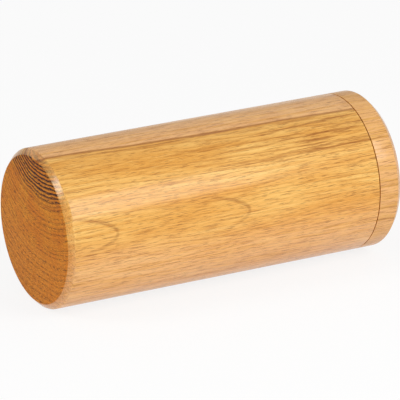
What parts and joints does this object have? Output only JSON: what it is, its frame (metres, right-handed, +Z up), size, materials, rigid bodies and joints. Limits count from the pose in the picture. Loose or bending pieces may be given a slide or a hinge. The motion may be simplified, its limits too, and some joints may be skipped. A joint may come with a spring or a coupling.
{
  "type": "shaker",
  "caption": "Round wooden hand shaker: a turned, bored body with a flush glued end cap, closed over loose steel pellets that slide along its bore.",
  "frame": {"origin": "on the surface that the shaker lies on, under the middle of its length", "axes": "+X along the bore towards the end cap, +Z up, -Y towards the viewer in the picture"},
  "size_m": [0.14, 0.06, 0.06],
  "materials": {
    "body_wood": "satin clear lacquer over golden ring-porous hardwood",
    "cap_wood": "satin clear lacquer over golden ring-porous hardwood",
    "pellet_steel": "bright rolled steel shot"
  },
  "bodies": {
    "shaker": {"shaker_body": "body_wood", "end_cap": "cap_wood"},
    "pellet_row_1": {"pellet_01": "pellet_steel", "pellet_02": "pellet_steel", "pellet_03": "pellet_steel", "pellet_04": "pellet_steel", "pellet_05": "pellet_steel", "pellet_06": "pellet_steel", "pellet_07": "pellet_steel"},
    "pellet_row_2": {"pellet_08": "pellet_steel", "pellet_09": "pellet_steel", "pellet_10": "pellet_steel", "pellet_11": "pellet_steel", "pellet_12": "pellet_steel", "pellet_13": "pellet_steel", "pellet_14": "pellet_steel", "pellet_15": "pellet_steel"},
    "pellet_row_3": {"pellet_16": "pellet_steel", "pellet_17": "pellet_steel", "pellet_18": "pellet_steel", "pellet_19": "pellet_steel", "pellet_20": "pellet_steel", "pellet_21": "pellet_steel", "pellet_22": "pellet_steel", "pellet_23": "pellet_steel", "pellet_24": "pellet_steel"},
    "pellet_row_4": {"pellet_25": "pellet_steel", "pellet_26": "pellet_steel", "pellet_27": "pellet_steel", "pellet_28": "pellet_steel", "pellet_29": "pellet_steel", "pellet_30": "pellet_steel", "pellet_31": "pellet_steel", "pellet_32": "pellet_steel", "pellet_33": "pellet_steel", "pellet_34": "pellet_steel"},
    "pellet_row_5": {"pellet_35": "pellet_steel", "pellet_36": "pellet_steel", "pellet_37": "pellet_steel", "pellet_38": "pellet_steel", "pellet_39": "pellet_steel", "pellet_40": "pellet_steel", "pellet_41": "pellet_steel", "pellet_42": "pellet_steel", "pellet_43": "pellet_steel"},
    "pellet_row_6": {"pellet_44": "pellet_steel", "pellet_45": "pellet_steel", "pellet_46": "pellet_steel", "pellet_47": "pellet_steel", "pellet_48": "pellet_steel", "pellet_49": "pellet_steel", "pellet_50": "pellet_steel", "pellet_51": "pellet_steel"},
    "pellet_row_7": {"pellet_52": "pellet_steel", "pellet_53": "pellet_steel", "pellet_54": "pellet_steel", "pellet_55": "pellet_steel", "pellet_56": "pellet_steel", "pellet_57": "pellet_steel", "pellet_58": "pellet_steel"}
  },
  "joints": [
    {"name": "pellet_row_1_slide", "type": "slide", "parent": "shaker", "child": "pellet_row_1", "axis": [1, 0, 0], "range_m": [-0.04005, 0.04005]},
    {"name": "pellet_row_2_slide", "type": "slide", "parent": "shaker", "child": "pellet_row_2", "axis": [1, 0, 0], "range_m": [-0.03765, 0.03765]},
    {"name": "pellet_row_3_slide", "type": "slide", "parent": "shaker", "child": "pellet_row_3", "axis": [1, 0, 0], "range_m": [-0.03525, 0.03525]},
    {"name": "pellet_row_4_slide", "type": "slide", "parent": "shaker", "child": "pellet_row_4", "axis": [1, 0, 0], "range_m": [-0.03285, 0.03285]},
    {"name": "pellet_row_5_slide", "type": "slide", "parent": "shaker", "child": "pellet_row_5", "axis": [1, 0, 0], "range_m": [-0.03525, 0.03525]},
    {"name": "pellet_row_6_slide", "type": "slide", "parent": "shaker", "child": "pellet_row_6", "axis": [1, 0, 0], "range_m": [-0.03765, 0.03765]},
    {"name": "pellet_row_7_slide", "type": "slide", "parent": "shaker", "child": "pellet_row_7", "axis": [1, 0, 0], "range_m": [-0.04005, 0.04005]}
  ]
}
